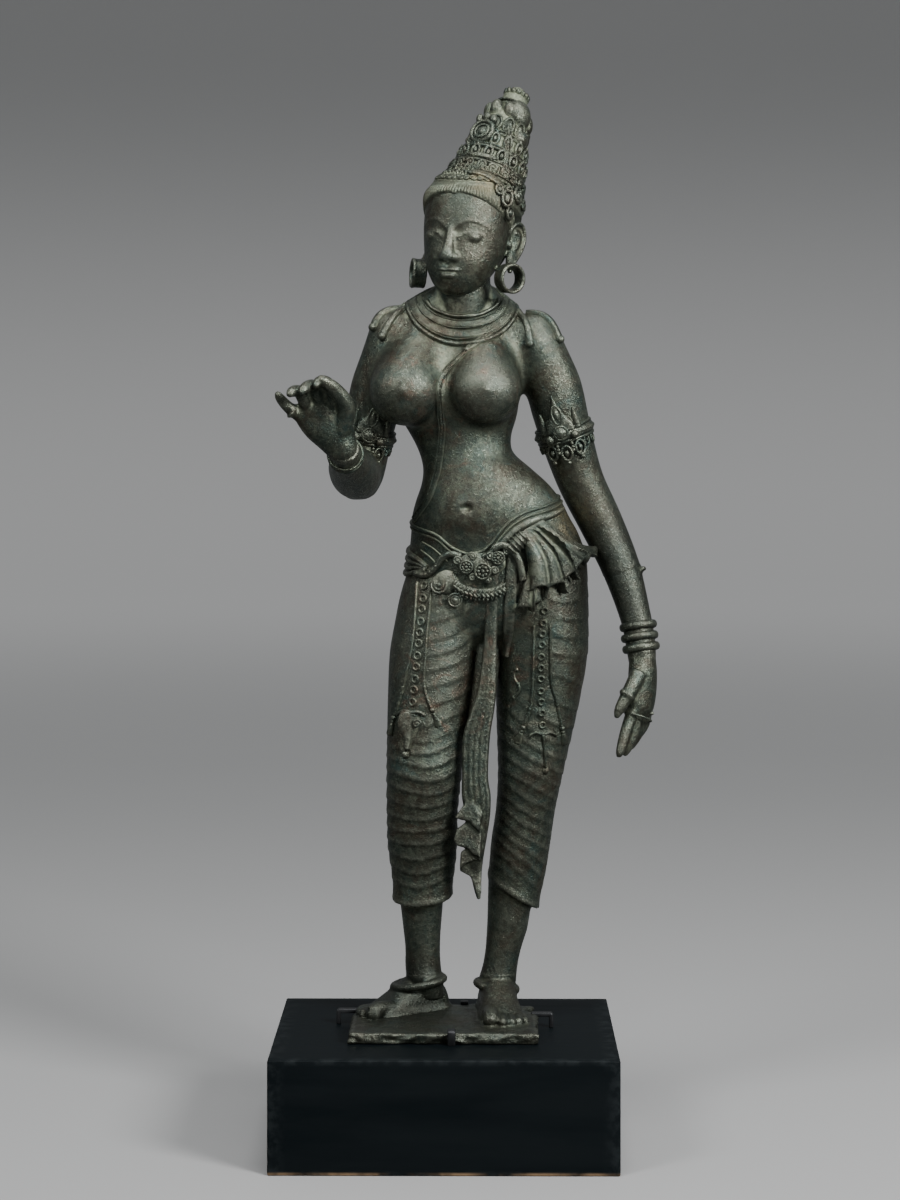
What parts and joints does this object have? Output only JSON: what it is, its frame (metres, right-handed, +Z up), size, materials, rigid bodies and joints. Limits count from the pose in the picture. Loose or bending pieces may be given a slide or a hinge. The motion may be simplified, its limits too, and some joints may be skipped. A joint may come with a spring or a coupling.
{
  "type": "standing goddess figure on a plinth",
  "caption": "Bronze goddess standing in a triple-bend pose with a tall tiered crown, one hand raised, held by clips on a black wooden block.",
  "frame": {"origin": "centre of the plinth's underside, where it rests on the floor", "axes": "+Z up along the figure's height, the figure faces -Y, +X is the viewer's right"},
  "size_m": [0.2825, 0.215, 0.7801],
  "materials": {
    "bronze": "dark olive patinated bronze, satin, worn brown and green in places",
    "plinth_paint": "black satin paint",
    "clip_steel": "black"
  },
  "bodies": {
    "root": {"plinth": "plinth_paint", "figure": "bronze", "clip_left": "clip_steel", "clip_right": "clip_steel", "clip_front": "clip_steel", "clip_back": "clip_steel"}
  },
  "joints": []
}
